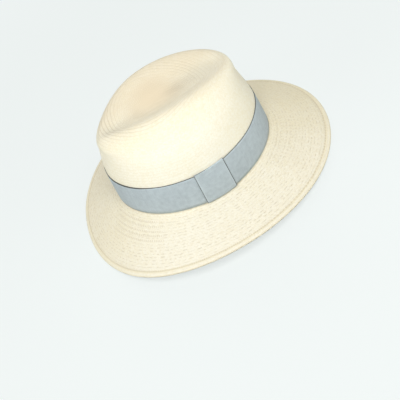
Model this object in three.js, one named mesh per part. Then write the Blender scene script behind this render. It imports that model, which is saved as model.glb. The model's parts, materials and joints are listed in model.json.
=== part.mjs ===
// Straw fedora: a woven straw body with a centre dent in its crown and a snapped brim, a ribbon band
// with a plain keeper, and inside it a sweatband with its reed and a small bow.
// Millimetres, +Z up, the front of the hat at -Y and the wearer's left at +X.
// A turn is an angle about the head's axis, 0 at the front and a quarter turn at the wearer's left.

import * as THREE from "three";

// Straw body: the head's oval is taken outside the straw, where crown and brim meet
const head_half_width = 90;
const head_half_length = 103;
const head_line_arch = 2.4;
const head_line_lift = 2;
const crown_height = 108;
const rosette_forward = 11;
const straw_thickness = 1.2;
const break_radius = 3;
const brim_width_front = 76.5;
const brim_width_side = 71;
const brim_width_back = 76;
const brim_droop_front_deg = 35;
const brim_droop_side_deg = 14;
const brim_droop_quarter_deg = 20.5;
const brim_droop_back_deg = 21.5;
const brim_curl_share = 0.15;
const hem_width = 8;
const hem_slit = 0.3;

// Rings of the crown, from the floor of the dent over the ridge and down the wall. Side, front and back
// are shares of the head's half width and half length. The heights at the front, the sides and the back
// are shares of the crown's height. Pinch is the share by which the front narrows, and arched is the
// share of the head line's own arch and lift.
const ring_shares = [
  { side: 0.15, front: 0.38, back: 0.4, at_front: 0.866, at_side: 0.868, at_back: 0.846, pinch: 0.2 },
  { side: 0.32, front: 0.64, back: 0.68, at_front: 0.887, at_side: 0.918, at_back: 0.848, pinch: 0.4 },
  { side: 0.55, front: 0.8, back: 0.82, at_front: 0.91, at_side: 0.996, at_back: 0.875, pinch: 0.5 },
  { side: 0.71, front: 0.885, back: 0.885, at_front: 0.815, at_side: 0.935, at_back: 0.835, pinch: 0.27 },
  { side: 0.888, front: 0.893, back: 0.893, at_front: 0.72, at_side: 0.72, at_back: 0.72, pinch: 0.03 },
  { side: 0.969, front: 0.967, back: 0.967, at_front: 0.396, at_side: 0.396, at_back: 0.396, arched: 1 },
];
const rosette_height_share = 0.856;

// Ribbon band and its keeper, on the wearer's left
const ribbon_height = 41;
const ribbon_thickness = 0.4;
const ribbon_lift = 0.6;
const ribbon_overlap = 12;
const ribbon_ramp = 14;
const ribbon_clear = 0.5;
const keeper_width = 39;
const keeper_thickness = 0.4;
const keeper_tuck = 6;
const keeper_turn_deg = 84;

// Sweatband, its reed, and the bow over its seam at the back
const sweatband_height = 34;
const sweatband_thickness = 0.9;
const reed_diameter = 2;
const bow_up = 20;
const bow_half_length = 11;
const bow_width = 5;
const bow_thickness = 0.4;
const bow_loop_depth = 2.6;
const knot_width = 3.4;
const knot_thickness = 0.4;

// Clearance between pieces that lie on each other
const seat_gap = 0.3;

// Steps around and along the pieces
const body_turns = 64;
const crown_span_steps = [3, 2, 2, 3, 3, 3, 3];
const fillet_steps = 2;
const hem_arc_steps = 4;
const brim_row_shares = [0.15, 0.32, 0.5, 0.68, 0.85];
const ribbon_turns = 60;
const ribbon_rows = 3;
const ramp_steps = 4;
const lap_steps = 6;
const keeper_steps = 6;
const keeper_arc_steps = 5;
const sweatband_turns = 64;
const sweatband_rows = 2;
const reed_sides = 6;
const bow_steps = 18;
const knot_arc_steps = 3;
const wall_samples = 40;
const pitch_rounds = 4;
const probe_share = 0.001;

const full_turn = 2 * Math.PI;
const half_turn = Math.PI;
const quarter_turn = Math.PI / 2;
const radians = (degrees) => THREE.MathUtils.degToRad(degrees);
const smooth = (value, from, to) => THREE.MathUtils.smoothstep(value, from, to);

// Evenly spaced values from one to another, both included
function rowsBetween(from, to, steps) {
  return Array.from({ length: steps + 1 }, (_, k) => from + ((to - from) * k) / steps);
}

// A value that is given at the front, the sides and the back, smoothly all round
function allRound(turn, front, side, back) {
  const c = Math.cos(turn);
  return side + ((front + back) / 2 - side) * c * c + ((front - back) / 2) * c;
}

// The same with a value for the two back quarters as well
function allRoundWithQuarter(turn, front, side, quarter, back) {
  const mean = (front + back) / 4 + side / 2;
  const second = (front + back) / 4 - side / 2;
  const third = ((front - back) / 2 + (quarter - mean) * Math.SQRT2) / 2;
  const first = (front - back) / 2 - third;
  return mean + first * Math.cos(turn) + second * Math.cos(2 * turn) + third * Math.cos(3 * turn);
}

function headLine(turn) {
  return head_line_arch * Math.cos(2 * turn) + head_line_lift * Math.cos(turn);
}

function breakPoint(turn) {
  const x = head_half_width * Math.sin(turn);
  const y = -head_half_length * Math.cos(turn);
  return new THREE.Vector3(x, y, headLine(turn));
}

// Level direction straight out of the head's oval
function outwardAt(turn) {
  const x = Math.sin(turn) / head_half_width;
  const y = -Math.cos(turn) / head_half_length;
  return new THREE.Vector3(x, y, 0).normalize();
}

function ringPoint(ring, turn) {
  const c = Math.cos(turn);
  const narrowing = 1 - (ring.pinch ?? 0) * Math.max(c, 0) ** 2;
  const reach = c > 0 ? ring.front : ring.back;
  const height = allRound(turn, ring.at_front, ring.at_side, ring.at_back);
  return new THREE.Vector3(
    head_half_width * ring.side * narrowing * Math.sin(turn),
    -head_half_length * reach * c,
    crown_height * height + (ring.arched ?? 0) * headLine(turn)
  );
}

function rosettePoint() {
  return new THREE.Vector3(0, -rosette_forward, crown_height * rosette_height_share);
}

// The crown's outside along one turn, as a smooth curve through the rings. The curve begins on the far
// side of the rosette, so that it crosses the rosette level.
function crownCurve(turn) {
  const points = [ringPoint(ring_shares[0], turn + half_turn), rosettePoint()];
  for (const ring of ring_shares) {
    points.push(ringPoint(ring, turn));
  }
  points.push(breakPoint(turn));
  return new THREE.CatmullRomCurve3(points, false, "centripetal");
}

const curve_spans = ring_shares.length + 2;
const wall_spans = 3;
const wall_share = wall_spans / curve_spans;

// Point of the crown's outside at an arc length above the break
function onWall(turn, up) {
  const curve = crownCurve(turn);
  let lower = breakPoint(turn);
  let travelled = 0;
  for (let k = 1; k <= wall_samples; k += 1) {
    const upper = curve.getPoint(1 - (k / wall_samples) * wall_share);
    const step = upper.distanceTo(lower);
    if (travelled + step >= up || k === wall_samples) {
      return lower.lerp(upper, (up - travelled) / step);
    }
    travelled += step;
    lower = upper;
  }
  return lower;
}

// Point at an arc length above the break and a distance outside the straw's outer face
function wallPoint(turn, up, out) {
  const probe = crown_height * probe_share;
  const down = onWall(turn, up - probe).sub(onWall(turn, up + probe));
  const around = onWall(turn + probe_share, up).sub(onWall(turn - probe_share, up));
  const normal = down.cross(around).normalize();
  return onWall(turn, up).addScaledVector(normal, out);
}

// The crown's outside rows along one turn, from the rosette's first ring to the break
function crownRows(turn) {
  const curve = crownCurve(turn);
  const rows = [];
  crown_span_steps.forEach((steps, span) => {
    for (let k = 1; k <= steps; k += 1) {
      rows.push(curve.getPoint((span + 1 + k / steps) / curve_spans));
    }
  });
  return rows;
}

function brimDroop(turn) {
  return radians(allRoundWithQuarter(
    turn,
    brim_droop_front_deg,
    brim_droop_side_deg,
    brim_droop_quarter_deg,
    brim_droop_back_deg
  ));
}

// The brim's upper rows along one turn: a fillet out of the wall, then a gently curling slope
function brimRows(turn, hemRadius) {
  const outward = outwardAt(turn);
  const start = breakPoint(turn);
  const above = ringPoint(ring_shares[ring_shares.length - 1], turn);
  const lean = Math.atan2(start.clone().sub(above).dot(outward), above.z - start.z);
  const firstSlope = brimDroop(turn) * (1 - brim_curl_share);
  const lastSlope = brimDroop(turn) * (1 + brim_curl_share);
  const place = (out, down) => new THREE.Vector3(0, 0, start.z - down).add(
    new THREE.Vector3(start.x, start.y, 0).addScaledVector(outward, out)
  );
  const rows = [];
  let out = 0;
  let down = 0;
  for (let k = 1; k <= fillet_steps; k += 1) {
    const bend = lean + ((quarter_turn - firstSlope - lean) * k) / fillet_steps;
    out = break_radius * (Math.cos(lean) - Math.cos(bend));
    down = break_radius * (Math.sin(bend) - Math.sin(lean));
    rows.push(place(out, down));
  }
  const width = allRound(turn, brim_width_front, brim_width_side, brim_width_back) - break_radius;
  const distances = brim_row_shares.map((share) => share * (width - hem_width));
  distances.push(width - hem_width, width - hem_width / 2, width - hemRadius);
  for (const distance of distances) {
    const slope = firstSlope + ((lastSlope - firstSlope) * distance) / (2 * width);
    rows.push(place(out + distance * Math.cos(slope), down + distance * Math.sin(slope)));
  }
  return rows;
}

// Closed surface through rings of equal count, from one pole to the other
function skinGeometry(firstPole, rings, lastPole) {
  const count = rings[0].length;
  const points = [firstPole, ...rings.flat(), lastPole];
  const index = [];
  const at = (row, j) => 1 + row * count + (j % count);
  for (let j = 0; j < count; j += 1) {
    index.push(0, at(0, j), at(0, j + 1));
    index.push(at(rings.length - 1, j), points.length - 1, at(rings.length - 1, j + 1));
    for (let row = 0; row + 1 < rings.length; row += 1) {
      index.push(at(row, j), at(row + 1, j), at(row + 1, j + 1));
      index.push(at(row, j), at(row + 1, j + 1), at(row, j + 1));
    }
  }
  return meshGeometry(points, index);
}

// Strip with a front and a back face, given as matching rows of points at each station
function stripGeometry(stations, closed) {
  const across = stations[0].front.length;
  const points = stations.flatMap((station) => [...station.front, ...station.back]);
  const index = [];
  const front = (s, k) => (s % stations.length) * 2 * across + k;
  const back = (s, k) => front(s, k) + across;
  const quad = (a, b, c, d) => index.push(a, b, c, a, c, d);
  const last = closed ? stations.length : stations.length - 1;
  for (let s = 0; s < last; s += 1) {
    for (let k = 0; k + 1 < across; k += 1) {
      quad(front(s, k), front(s + 1, k), front(s + 1, k + 1), front(s, k + 1));
      quad(back(s, k), back(s, k + 1), back(s + 1, k + 1), back(s + 1, k));
    }
    quad(front(s, 0), back(s, 0), back(s + 1, 0), front(s + 1, 0));
    quad(front(s, across - 1), front(s + 1, across - 1), back(s + 1, across - 1), back(s, across - 1));
  }
  if (!closed) {
    for (let k = 0; k + 1 < across; k += 1) {
      quad(front(0, k), front(0, k + 1), back(0, k + 1), back(0, k));
      quad(front(last, k), back(last, k), back(last, k + 1), front(last, k + 1));
    }
  }
  return meshGeometry(points, index);
}

// Indexed geometry whose faces point out, whichever way its strips were listed
function meshGeometry(points, index) {
  const volume = index.reduce((sum, _, i) => {
    if (i % 3 !== 0) {
      return sum;
    }
    const [a, b, c] = [points[index[i]], points[index[i + 1]], points[index[i + 2]]];
    return sum + a.dot(b.clone().cross(c));
  }, 0);
  const geometry = new THREE.BufferGeometry();
  geometry.setAttribute("position", new THREE.Float32BufferAttribute(points.flatMap((p) => p.toArray()), 3));
  geometry.setIndex(volume < 0 ? index.reverse() : index);
  geometry.computeVertexNormals();
  return geometry;
}

// Straw body: the outside from the rosette to the brim's edge, the edge turned under as a stitched
// hem with a slit between its layers, and the inside at the straw's thickness
function strawBody() {
  const hemDepth = 2 * straw_thickness + hem_slit;
  const hemRadius = hemDepth / 2;
  const turns = Array.from({ length: body_turns }, (_, j) => (full_turn * j) / body_turns);
  const meridians = turns.map((turn) => [...crownRows(turn), ...brimRows(turn, hemRadius)]);
  const outside = meridians[0].map((_, row) => meridians.map((meridian) => meridian[row]));
  const last = outside.length - 1;

  const slopeAt = (row, j) => {
    const inner = row > 0 ? outside[row - 1][j] : rosettePoint();
    return outside[Math.min(row + 1, last)][j].clone().sub(inner).normalize();
  };
  const normalAt = (row, j) => {
    const next = outside[row][(j + 1) % body_turns];
    const previous = outside[row][(j + body_turns - 1) % body_turns];
    return slopeAt(row, j).cross(next.clone().sub(previous)).normalize();
  };
  const under = (row, depth) => outside[row].map((point, j) => (
    point.clone().addScaledVector(normalAt(row, j), -depth)
  ));
  const foldRing = (bend) => under(last, hemRadius).map((centre, j) => (
    centre
      .addScaledVector(normalAt(last, j), hemRadius * Math.cos(bend))
      .addScaledVector(slopeAt(last, j), hemRadius * Math.sin(bend))
  ));

  const rings = [...outside];
  for (let k = 1; k < hem_arc_steps; k += 1) {
    rings.push(foldRing((half_turn * k) / hem_arc_steps));
  }
  rings.push(under(last, hemDepth), under(last - 1, hemDepth), under(last - 2, hemDepth));
  const flapTop = straw_thickness + hem_slit;
  rings.push(under(last - 2, flapTop), under(last - 1, flapTop), under(last, flapTop));
  for (let row = last; row >= 0; row -= 1) {
    rings.push(under(row, straw_thickness));
  }
  const innerPole = rosettePoint().sub(new THREE.Vector3(0, 0, straw_thickness));
  return skinGeometry(rosettePoint(), rings, innerPole);
}

// Layers under the keeper, counted outwards from the straw
const keeper_back_out = seat_gap;
const ribbon_raised_out = keeper_back_out + keeper_thickness + seat_gap;
const ribbon_outer_out = ribbon_raised_out + ribbon_thickness + seat_gap;
const keeper_front_out = ribbon_outer_out + ribbon_thickness + seat_gap;

// Turns that lengths along the head's side and along its back take up
const sideTurn = (length) => length / head_half_length;
const backTurn = (length) => length / head_half_width;

// Turns travelled from the keeper's middle to where the band's lap ends, where it leaves the keeper,
// and where it lies on the straw again
const lap_turn = sideTurn(ribbon_overlap / 2);
const keeper_end_turn = sideTurn(keeper_width / 2 + ribbon_clear);
const settled_turn = sideTurn(keeper_width / 2 + ribbon_clear + ribbon_ramp);
const lapped_turn = (lap_turn + keeper_end_turn) / 2;

// How far the ribbon's inner face stands off the straw, by the turn travelled past the keeper's middle.
// It rises over the keeper's tucked ends, and its last stretch rises again to lie over its first.
function ribbonOut(travel) {
  const left = full_turn - travel;
  const near = Math.min(Math.abs(travel), left);
  const raised = (ribbon_raised_out - seat_gap) * (1 - smooth(near, keeper_end_turn, settled_turn));
  const lapped = travel > half_turn ? 1 - smooth(left, lapped_turn, keeper_end_turn) : 0;
  return seat_gap + raised + (ribbon_outer_out - ribbon_raised_out) * lapped;
}

function ribbonBand() {
  const travels = [
    ...rowsBetween(-lap_turn, keeper_end_turn, lap_steps),
    ...rowsBetween(keeper_end_turn, settled_turn, ramp_steps).slice(1),
    ...rowsBetween(settled_turn, full_turn - settled_turn, ribbon_turns).slice(1),
    ...rowsBetween(full_turn - settled_turn, full_turn - keeper_end_turn, ramp_steps).slice(1),
    ...rowsBetween(full_turn - keeper_end_turn, full_turn - lapped_turn, ramp_steps).slice(1),
    ...rowsBetween(full_turn - lapped_turn, full_turn + lap_turn, ramp_steps).slice(1),
  ];
  const ups = rowsBetween(ribbon_lift, ribbon_lift + ribbon_height, ribbon_rows);
  const stations = travels.map((travel) => {
    const turn = radians(keeper_turn_deg) + travel;
    const out = ribbonOut(travel);
    return {
      front: ups.map((up) => wallPoint(turn, up, out + ribbon_thickness)),
      back: ups.map((up) => wallPoint(turn, up, out)),
    };
  });
  return stripGeometry(stations, false);
}

// Keeper: a short piece of the same ribbon laid over the band's ends, turned round both of its edges
// and tucked in between band and straw
function ribbonKeeper() {
  const low = ribbon_lift;
  const high = ribbon_lift + ribbon_height;
  const inner = (keeper_front_out - ribbon_raised_out + seat_gap) / 2;
  const middle = keeper_back_out + keeper_thickness + inner;
  const bends = rowsBetween(0, half_turn, keeper_arc_steps);
  const path = [
    { at: low + keeper_tuck, bend: 0, side: 0 },
    ...bends.map((bend) => ({ at: low, bend, side: -1 })),
    ...rowsBetween(low, high, ribbon_rows).slice(1, -1).map((at) => ({ at, bend: half_turn, side: 0 })),
    ...bends.reverse().map((bend) => ({ at: high, bend, side: 1 })),
    { at: high - keeper_tuck, bend: 0, side: 0 },
  ];
  const turns = Array.from({ length: keeper_steps + 1 }, (_, k) => (
    radians(keeper_turn_deg) + sideTurn(keeper_width * (k / keeper_steps - 1 / 2))
  ));
  const rowAt = (stop, radius) => turns.map((turn) => wallPoint(
    turn,
    stop.at + stop.side * radius * Math.sin(stop.bend),
    middle - radius * Math.cos(stop.bend)
  ));
  const stations = path.map((stop) => ({
    front: rowAt(stop, inner + keeper_thickness),
    back: rowAt(stop, inner),
  }));
  return stripGeometry(stations, false);
}

// Sweatband: a strip against the inside of the wall, its ends butted at the back
function sweatband() {
  const near = -straw_thickness - seat_gap;
  const far = near - sweatband_thickness;
  const ups = rowsBetween(0, sweatband_height, sweatband_rows);
  const butt = backTurn(seat_gap / 2);
  const stations = Array.from({ length: sweatband_turns + 1 }, (_, k) => {
    const turn = half_turn + butt + ((full_turn - 2 * butt) * k) / sweatband_turns;
    return {
      front: ups.map((up) => wallPoint(turn, up, near)),
      back: ups.map((up) => wallPoint(turn, up, far)),
    };
  });
  return stripGeometry(stations, false);
}

// Reed: a thin covered cord along the sweatband's lower edge, open at the back where its ends meet
function sweatbandReed() {
  const radius = reed_diameter / 2;
  const middle = -straw_thickness - seat_gap - sweatband_thickness / 2;
  const level = -seat_gap - radius;
  const butt = backTurn(seat_gap / 2);
  const turnAt = (k) => half_turn + butt + ((full_turn - 2 * butt) * k) / sweatband_turns;
  const rings = Array.from({ length: sweatband_turns + 1 }, (_, k) => (
    Array.from({ length: reed_sides }, (_, side) => {
      const angle = (full_turn * side) / reed_sides;
      return wallPoint(turnAt(k), level + radius * Math.sin(angle), middle + radius * Math.cos(angle));
    })
  ));
  const first = wallPoint(turnAt(0), level, middle);
  const last = wallPoint(turnAt(sweatband_turns), level, middle);
  return skinGeometry(first, rings, last);
}

// Depths of the bow's three layers at its knot, inwards from the sweatband's face
const sweatband_face = straw_thickness + seat_gap + sweatband_thickness;
const knot_back = sweatband_face + seat_gap;
const bow_back = knot_back + knot_thickness + seat_gap;
const bow_layer = bow_thickness + seat_gap;
const bow_front = bow_back + 3 * bow_thickness + 2 * seat_gap;

// Point over the seam at the back: along the seam's sides, above the band's lower edge, inwards
function seamPoint(along, up, depth) {
  return wallPoint(half_turn + backTurn(along), up, -depth);
}

// Bow: one narrow ribbon folded to and fro, so that each side has a loop, pinched under the knot
function sweatbandBow() {
  const middles = [];
  const addLoop = (side, from) => {
    for (const share of rowsBetween(0, 1, bow_steps)) {
      const bend = half_turn * share;
      const swell = (bow_loop_depth / 2) * Math.sin(bend) ** 2;
      const depth = from + bow_layer * share - swell * Math.cos(bend);
      middles.push({ along: side * bow_half_length * Math.sin(bend), depth });
    }
  };
  addLoop(-1, bow_back + bow_thickness / 2);
  middles.pop();
  addLoop(1, bow_back + bow_thickness / 2 + bow_layer);
  const edges = [bow_up - bow_width / 2, bow_up + bow_width / 2];
  const stations = middles.map((middle, k) => {
    const next = middles[Math.min(k + 1, middles.length - 1)];
    const previous = middles[Math.max(k - 1, 0)];
    const way = new THREE.Vector2(next.along - previous.along, next.depth - previous.depth).normalize();
    const face = (side) => edges.map((up) => seamPoint(
      middle.along - (side * way.y * bow_thickness) / 2,
      up,
      middle.depth + (side * way.x * bow_thickness) / 2
    ));
    return { front: face(1), back: face(-1) };
  });
  return stripGeometry(stations, false);
}

// Knot: a narrow ring of the same ribbon round the bow's middle
function sweatbandBowKnot() {
  const halfUp = bow_width / 2 + seat_gap;
  const halfDepth = (bow_front - bow_back) / 2 + seat_gap;
  const middle = (bow_front + bow_back) / 2;
  const alongs = [-knot_width / 2, knot_width / 2];
  const corners = [[1, 1], [-1, 1], [-1, -1], [1, -1]];
  const stations = corners.flatMap(([upSide, depthSide], corner) => (
    rowsBetween(0, 1, knot_arc_steps).map((share) => {
      const bend = quarter_turn * (corner + share);
      const rowAt = (radius) => alongs.map((along) => seamPoint(
        along,
        bow_up + upSide * halfUp + radius * Math.cos(bend),
        middle + depthSide * halfDepth + radius * Math.sin(bend)
      ));
      return { front: rowAt(knot_thickness), back: rowAt(0) };
    })
  ));
  return stripGeometry(stations, true);
}

const straw = new THREE.MeshStandardMaterial({ color: 0xf4ebd2, roughness: 0.8, metalness: 0 });
const ribbon = new THREE.MeshStandardMaterial({ color: 0xb9c4c6, roughness: 0.75, metalness: 0 });
const keeper = new THREE.MeshStandardMaterial({ color: 0xc0cccb, roughness: 0.75, metalness: 0 });
const band = new THREE.MeshStandardMaterial({ color: 0xe3d5b8, roughness: 0.7, metalness: 0 });
const reed = new THREE.MeshStandardMaterial({ color: 0xd8cbab, roughness: 0.7, metalness: 0 });
const bow = new THREE.MeshStandardMaterial({ color: 0xcfc4a6, roughness: 0.7, metalness: 0 });

const hat = new THREE.Group();
function addPiece(name, geometry, material) {
  const mesh = new THREE.Mesh(geometry, material);
  mesh.name = name;
  hat.add(mesh);
}
addPiece("straw_body", strawBody(), straw);
addPiece("ribbon_band", ribbonBand(), ribbon);
addPiece("ribbon_keeper", ribbonKeeper(), keeper);
addPiece("sweatband", sweatband(), band);
addPiece("sweatband_reed", sweatbandReed(), reed);
addPiece("sweatband_bow", sweatbandBow(), bow);
addPiece("sweatband_bow_knot", sweatbandBowKnot(), bow);

// The hat stands on its brim: it is pitched until the rim's lowest points in front and behind are
// level, and its box is then centred over the origin
function lowestPoint(frontHalf) {
  const positions = hat.getObjectByName("straw_body").geometry.attributes.position;
  const points = Array.from({ length: positions.count }, (_, i) => (
    new THREE.Vector3().fromBufferAttribute(positions, i).applyEuler(hat.rotation)
  ));
  const half = points.filter((point) => (point.y < 0) === frontHalf);
  return half.reduce((low, point) => (point.z < low.z ? point : low));
}
for (let round = 0; round < pitch_rounds; round += 1) {
  const front = lowestPoint(true);
  const back = lowestPoint(false);
  hat.rotation.x -= Math.atan2(back.z - front.z, back.y - front.y);
}
hat.updateMatrixWorld();
const bounds = new THREE.Box3().setFromObject(hat, true);
const centre = bounds.getCenter(new THREE.Vector3());
hat.position.set(-centre.x, -centre.y, -bounds.min.z);

const group = new THREE.Group();
group.add(hat);

export default group;
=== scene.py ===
"""Looks of a straw fedora: woven straw with a stitched hem, a grosgrain band with its keeper, and the
sweatband inside. Everything is in metres, with the front of the hat at -Y and the wearer's left at +X.
"""

import json
import math

import bmesh
import bpy
import numpy as np
from mathutils import Matrix, Vector, noise


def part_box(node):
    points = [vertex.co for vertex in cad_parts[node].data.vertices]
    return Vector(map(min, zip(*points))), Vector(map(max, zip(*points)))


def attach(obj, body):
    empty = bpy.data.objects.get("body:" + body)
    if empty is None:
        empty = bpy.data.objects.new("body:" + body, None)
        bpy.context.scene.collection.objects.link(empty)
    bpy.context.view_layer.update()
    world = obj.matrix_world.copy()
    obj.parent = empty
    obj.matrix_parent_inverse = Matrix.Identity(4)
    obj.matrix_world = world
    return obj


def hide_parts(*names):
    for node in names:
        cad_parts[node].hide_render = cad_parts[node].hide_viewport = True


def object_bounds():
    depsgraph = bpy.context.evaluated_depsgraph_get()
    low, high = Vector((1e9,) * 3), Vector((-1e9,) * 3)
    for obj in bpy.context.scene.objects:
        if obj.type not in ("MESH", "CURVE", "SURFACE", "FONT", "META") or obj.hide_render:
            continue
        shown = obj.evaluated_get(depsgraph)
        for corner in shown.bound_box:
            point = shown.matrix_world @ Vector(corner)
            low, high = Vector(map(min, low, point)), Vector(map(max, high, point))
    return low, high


bl_info = {
    "name": "Straw Fedora",
    "version": (1, 0, 0),
    "blender": (4, 5, 0),
    "location": "3D View > Sidebar > Hat",
    "description": "Dresses a straw fedora with its weave, ribbon, sweatband and stitching",
    "category": "Object",
}

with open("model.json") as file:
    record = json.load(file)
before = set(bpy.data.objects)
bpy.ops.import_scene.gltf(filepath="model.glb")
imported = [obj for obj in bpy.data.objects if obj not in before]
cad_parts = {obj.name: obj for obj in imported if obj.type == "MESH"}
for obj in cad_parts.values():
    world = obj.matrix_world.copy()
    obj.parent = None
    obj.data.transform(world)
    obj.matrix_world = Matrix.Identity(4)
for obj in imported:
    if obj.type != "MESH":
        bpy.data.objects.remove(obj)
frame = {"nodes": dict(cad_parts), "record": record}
cad_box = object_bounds()

# The middle of the head opening and the hat's own upright axis
head_mount = frame["record"]["mounts"][0]
head_centre = Vector(head_mount["pos_m"])
head_up = -Vector(head_mount["axis"]).normalized()
head_left = Vector((1, 0, 0))
head_back = head_up.cross(head_left)

full_turn = 2 * math.pi
back_turn = 0.5
millimetre = 0.001
merge_distance = 0.001 * millimetre
thread_relief = 0.05 * millimetre
cloth_gloss = 0.3
sharp_bend = math.radians(60)
surface_levels = 2

# Places round a band at which its lower edge is found
band_stations = 60

# How often the straw's grid is moved out, until the smoothed surface lies where the CAD's does
fitting_rounds = 6

# Makes the unevenness the same each time
unevenness_seed = 1

# The straw's rows are evened out from this share of the way to the break, and Wall rises to 1 over this
# many rings past the ridge
level_from = 0.35
wall_rings = 3

# Distances that stand for none: a place that is nowhere near the rim, and a fold that a ribbon doesn't have
far_from_rim = 1.0
no_fold = -1.0


def colour_setting(name, description, *channels):
    """A colour, which a user can change."""
    return bpy.props.FloatVectorProperty(
        name=name, description=description, subtype="COLOR", size=4, min=0, max=1, default=(*channels, 1))


def length_setting(name, description, least, usual, most):
    """A length, which a user can change between the least and the most."""
    return bpy.props.FloatProperty(
        name=name, description=description, unit="LENGTH", min=least, max=most, default=usual)


def place_setting(name, description, *place):
    """A place, which a user can change."""
    return bpy.props.FloatVectorProperty(
        name=name, description=description, subtype="XYZ", unit="LENGTH", size=3, default=place)


def angle_setting(name, description, degrees):
    """An angle, which a user can change."""
    return bpy.props.FloatProperty(
        name=name, description=description, subtype="ANGLE", unit="ROTATION", default=math.radians(degrees))


def angles_setting(name, description, *degrees):
    """Angles of the lamps, which a user can change."""
    return bpy.props.FloatVectorProperty(
        name=name, description=description, unit="ROTATION", size=len(degrees),
        default=[math.radians(angle) for angle in degrees])


class StrawSettings(bpy.types.PropertyGroup):
    """The colours, the rows and the unevenness of the woven straw"""
    light: colour_setting("Light straw", "Colour of the palest straws", 0.94, 0.908, 0.78)
    dark: colour_setting("Dark straw", "Colour of the darkest straws", 0.85, 0.78, 0.565)
    groove: colour_setting("Grooves", "Colour between the straws and along the rings", 0.62, 0.54, 0.38)
    # The rosette colour is partly darker straw and partly painted shade with warm bounce light in the dent,
    # and it also paints the shade just below the left ridge
    rosette: colour_setting("Rosette", "Colour of the straw in the middle of the dent", 0.76, 0.655, 0.475)
    dent_tone_and_shade_middle: place_setting(
        "Rosette tint", "Place where the dent's colour is strongest", -0.012, -0.006, 0.13)
    crown_row: length_setting(
        "Crown row", "Width of one row of the weave on the crown", 0.0005, 0.00215, 0.01)
    brim_row: length_setting("Brim row", "Width of one row of the weave on the brim", 0.0005, 0.00184, 0.01)
    straw: length_setting("Straw width", "Least width of one straw", 0.0003, 0.00115, 0.005)
    relief: length_setting("Relief", "Height of the straws over the grooves", 0, 0.0002, 0.002)
    waviness: length_setting("Waviness", "Unevenness of the blocked straw", 0, 0.0004, 0.002)
    wave_length: length_setting("Wave length", "Distance between uneven places", 0.01, 0.055, 0.2)


class HemSettings(bpy.types.PropertyGroup):
    """The turned-under hem and its stitching"""
    from_rim: length_setting(
        "Line from the rim", "Distance of the stitch line from the rim of the brim", 0.001, 0.0066, 0.02)
    pitch: length_setting("Pitch", "Distance from one stitch to the next", 0.001, 0.0031, 0.01)
    stitch: length_setting("Stitch", "Length of one stitch", 0.001, 0.0024, 0.01)
    thread: length_setting("Thread", "Thickness of the thread", 0.0001, 0.00052, 0.002)
    groove: length_setting("Groove", "How deep the stitching pulls the straw in", 0, 0.00035, 0.001)
    groove_reach: length_setting("Groove reach", "Half width of the pulled-in line", 0.0002, 0.0016, 0.004)
    cloth: colour_setting("Hem straw", "Colour of the folded straw along the rim", 0.90, 0.82, 0.57)
    colour: colour_setting("Thread colour", "Colour of the stitching", 0.77, 0.68, 0.47)


class RibbonSettings(bpy.types.PropertyGroup):
    """The grosgrain of the band and its keeper"""
    crest: colour_setting("Ribs", "Colour of the ribbon's ribs", 0.525, 0.598, 0.626)
    valley: colour_setting("Valleys", "Colour between the ribbon's ribs", 0.365, 0.423, 0.457)
    edge: colour_setting("Edges", "Colour in the shade along the ribbon's edges", 0.045, 0.044, 0.035)
    keeper_edge: colour_setting(
        "Keeper's edges", "Colour in the shade along the keeper's edges", 0.115, 0.12, 0.115)
    rib: length_setting("Rib", "Distance from one rib of the ribbon to the next", 0.0002, 0.0008, 0.003)
    selvedge: length_setting("Selvedge", "Width of the ribbon's firm edge", 0.0002, 0.001, 0.003)
    relief: length_setting("Rib height", "Height of the ribs", 0, 0.0001, 0.001)


class InsideSettings(bpy.types.PropertyGroup):
    """The sweatband with its stitches, its reed and its bow"""
    crest: colour_setting("Sweatband ribs", "Colour of the sweatband's ribs", 0.76, 0.68, 0.51)
    valley: colour_setting("Sweatband valleys", "Colour between the sweatband's ribs", 0.56, 0.47, 0.32)
    rib: length_setting(
        "Sweatband rib", "Distance from one rib of the sweatband to the next", 0.0002, 0.0011, 0.003)
    reed: colour_setting("Reed", "Colour of the reed's covering", 0.66, 0.57, 0.40)
    bow_crest: colour_setting("Bow", "Colour of the small bow at the sweatband's seam", 0.52, 0.59, 0.60)
    bow_valley: colour_setting("Bow valleys", "Colour between the bow's ribs", 0.37, 0.43, 0.45)
    bow_rib: length_setting("Bow rib", "Distance from one rib of the bow to the next", 0.0002, 0.0006, 0.003)
    seam_height: length_setting(
        "Seam height", "Height of the sweatband's stitches over its lower edge", 0.001, 0.0032, 0.01)
    pitch: length_setting("Stitch pitch", "Distance between the sweatband's stitches", 0.001, 0.0036, 0.01)
    stitch: length_setting("Stitch", "Length of one of the sweatband's stitches", 0.001, 0.0026, 0.01)
    thread: length_setting("Thread", "Thickness of the sweatband's thread", 0.0001, 0.00045, 0.002)


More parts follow.
